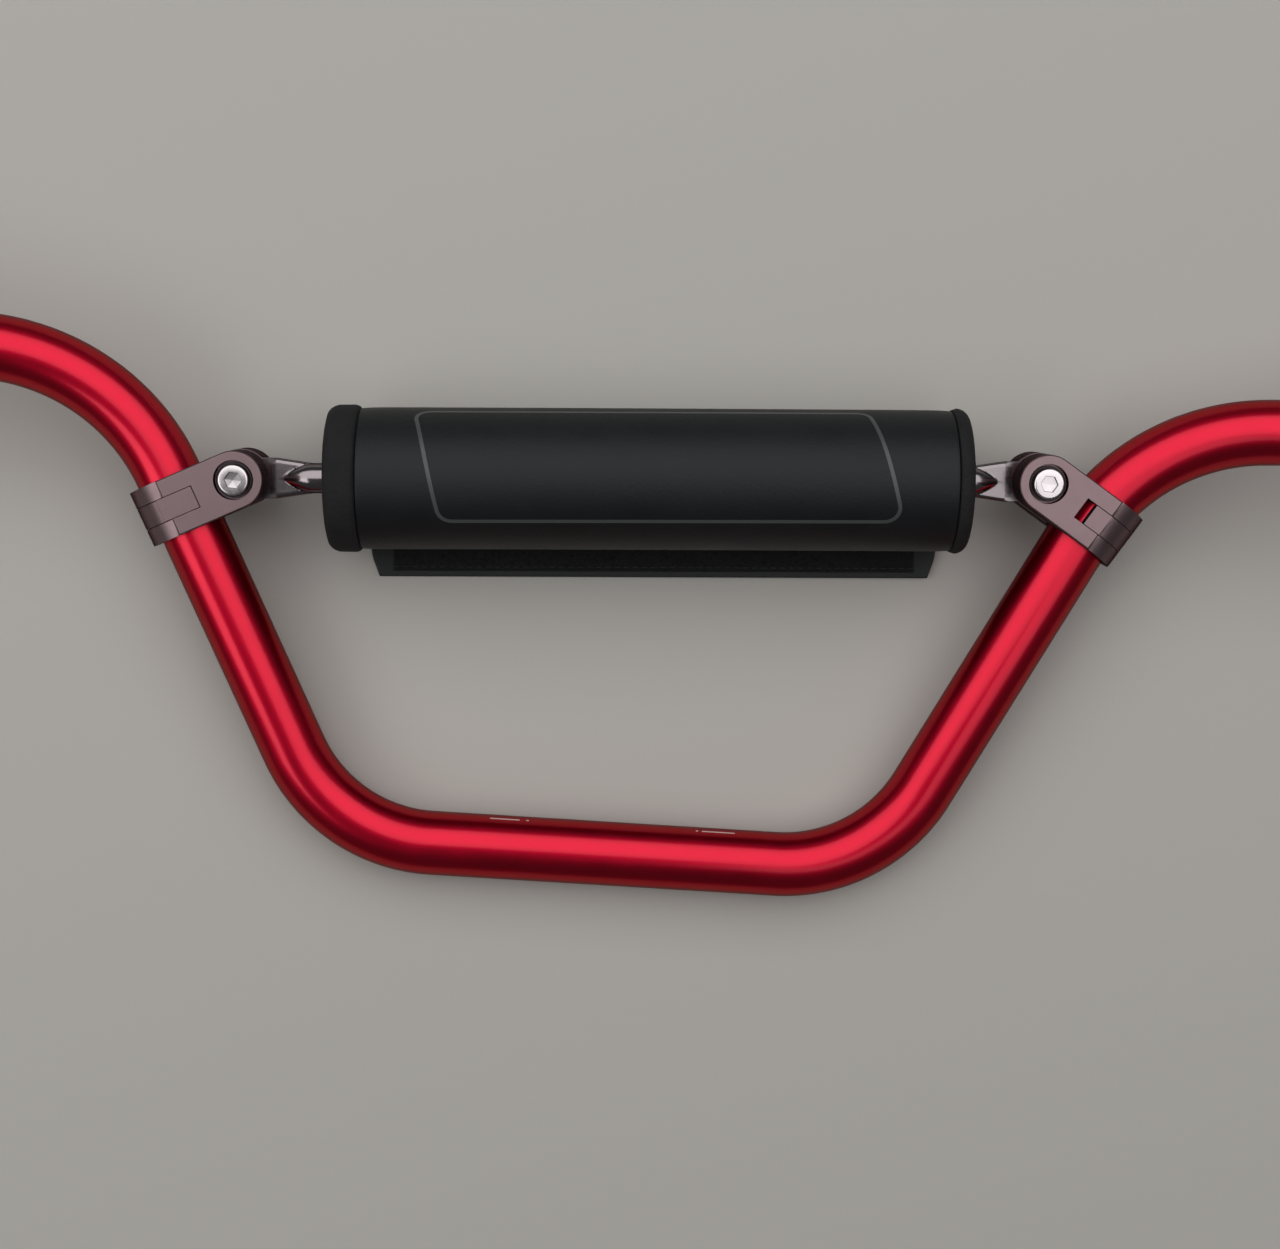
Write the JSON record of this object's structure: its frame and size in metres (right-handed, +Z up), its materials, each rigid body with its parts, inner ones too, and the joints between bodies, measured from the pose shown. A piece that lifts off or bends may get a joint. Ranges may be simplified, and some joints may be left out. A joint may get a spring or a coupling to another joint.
{
  "type": "riser handlebar",
  "caption": "Bent red anodised tube handlebar with a high rise, a padded crossbar held in two bolted clamps, and open ends for grips.",
  "frame": {"origin": "on the tube's axis, in the middle of the straight bottom run that the stem clamps hold", "axes": "+X along the bottom run to the right grip, +Y from the bottom run towards the grips and +Z up from the surface the part lies on, which is the rider's side of the bar; the bar's plane is tilted 7.18 degrees about X"},
  "size_m": [0.744, 0.188, 0.0794],
  "materials": {
    "red_anodised_aluminium": "satin",
    "crossbar_steel": "satin",
    "gunmetal_alloy": "satin",
    "zinc_plated_steel": "satin",
    "black_foam": "matte",
    "black_vinyl": "satin",
    "hook_and_loop": "matte"
  },
  "bodies": {
    "root": {"handlebar_tube": "red_anodised_aluminium", "crossbar_tube": "crossbar_steel", "left_clamp_upper": "gunmetal_alloy", "left_clamp_lower": "gunmetal_alloy", "right_clamp_upper": "gunmetal_alloy", "right_clamp_lower": "gunmetal_alloy", "left_clamp_bolt": "zinc_plated_steel", "right_clamp_bolt": "zinc_plated_steel", "left_clamp_washer": "zinc_plated_steel", "right_clamp_washer": "zinc_plated_steel", "left_clamp_nut": "zinc_plated_steel", "right_clamp_nut": "zinc_plated_steel", "pad_foam": "black_foam", "pad_cover": "black_vinyl", "pad_hook_strip": "hook_and_loop", "pad_loop_strip": "hook_and_loop"}
  },
  "joints": []
}
